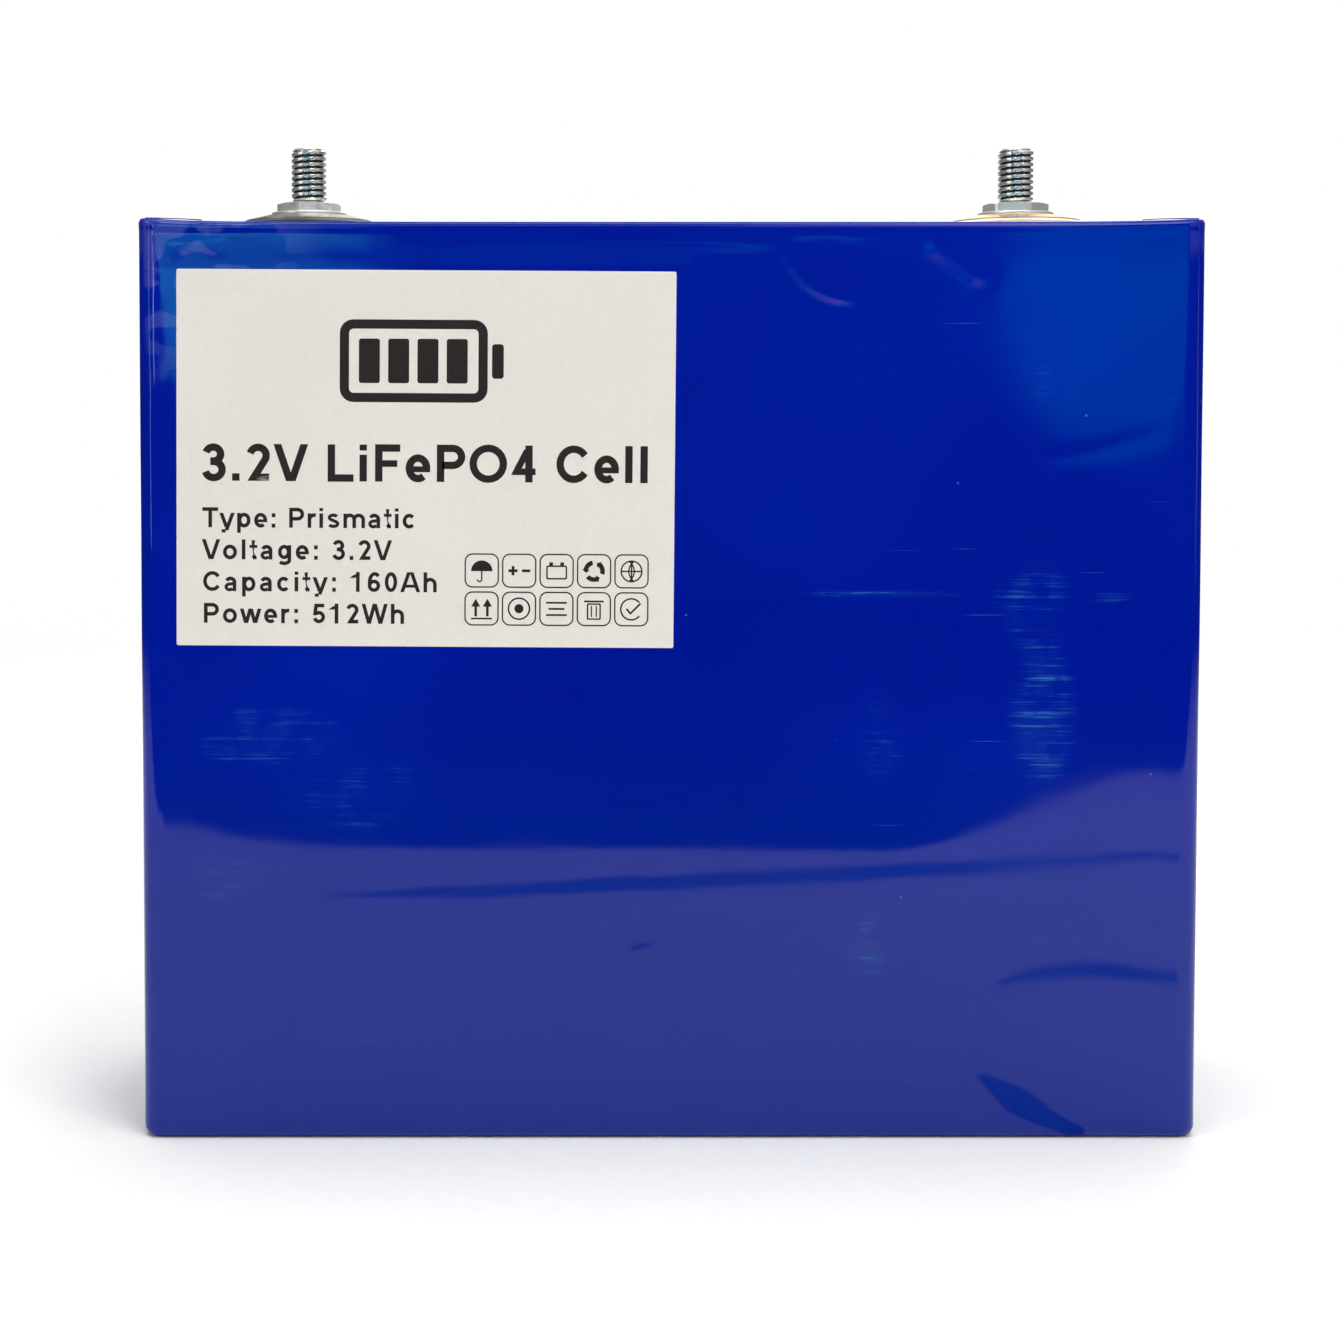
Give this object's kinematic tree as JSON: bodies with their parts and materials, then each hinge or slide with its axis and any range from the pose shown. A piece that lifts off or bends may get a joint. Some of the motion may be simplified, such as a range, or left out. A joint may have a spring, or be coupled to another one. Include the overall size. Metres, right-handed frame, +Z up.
{
  "type": "prismatic battery cell",
  "caption": "Flat rectangular rechargeable lithium cell in glossy blue film, with a threaded stud on each pole and a paper label.",
  "frame": {"origin": "middle of the base, on the surface the cell stands on", "axes": "+Z up towards the poles, +X along the wide faces from the positive pole to the negative, -Y out of the face with the label"},
  "size_m": [0.1738, 0.0539, 0.1651],
  "materials": {
    "blue_film": "glossy blue polyester film, folded over the lid's rim",
    "can_aluminium": "deep-drawn, satin",
    "lid_aluminium": "rolled plate, satin",
    "thin_aluminium": "thin bright sheet",
    "pole_aluminium": "turned",
    "collector_aluminium": "stamped",
    "copper": "bare copper, stamped or turned",
    "copper_foil": "copper foil bundles, pressed and welded",
    "aluminium_foil": "aluminium foil bundles, pressed and welded",
    "zinc_steel": "zinc-plated steel, rolled thread",
    "dark_plastic": "moulded, dark",
    "natural_plastic": "moulded, natural cream",
    "inner_plastic": "moulded, natural white",
    "seal_rubber": "fluorinated rubber",
    "bag_film": "thin polypropylene sheet, folded",
    "clear_film": "thin clear film",
    "cathode": "black coating on aluminium foil",
    "anode": "graphite coating on copper foil",
    "separator": "white porous film",
    "green_tape": "green polyester tape",
    "amber_tape": "amber polyimide tape",
    "label_paper": "coated paper, printed dark brown"
  },
  "bodies": {
    "root": {"blue_wrap": "blue_film", "can": "can_aluminium", "lid": "lid_aluminium", "vent_plate": "thin_aluminium", "fill_cap": "thin_aluminium", "positive_terminal_plate": "pole_aluminium", "positive_rivet": "pole_aluminium", "negative_terminal_plate": "pole_aluminium", "positive_collector": "collector_aluminium", "negative_rivet": "copper", "negative_collector": "copper", "front_negative_tabs": "copper_foil", "rear_negative_tabs": "copper_foil", "front_positive_tabs": "aluminium_foil", "rear_positive_tabs": "aluminium_foil", "positive_stud": "zinc_steel", "negative_stud": "zinc_steel", "positive_upper_insulator": "dark_plastic", "negative_upper_insulator": "natural_plastic", "lower_insulator": "inner_plastic", "bottom_support": "inner_plastic", "positive_seal_ring": "seal_rubber", "negative_seal_ring": "seal_rubber", "fill_plug": "seal_rubber", "insulation_bag": "bag_film", "vent_shield": "clear_film", "front_roll_positive_sheet": "cathode", "rear_roll_positive_sheet": "cathode", "front_roll_negative_sheet": "anode", "rear_roll_negative_sheet": "anode", "front_roll_inner_separator": "separator", "front_roll_outer_separator": "separator", "rear_roll_inner_separator": "separator", "rear_roll_outer_separator": "separator", "binding_tape_lower": "green_tape", "binding_tape_upper": "green_tape", "positive_weld_tape": "amber_tape", "negative_weld_tape": "amber_tape", "label": "label_paper"}
  },
  "joints": []
}
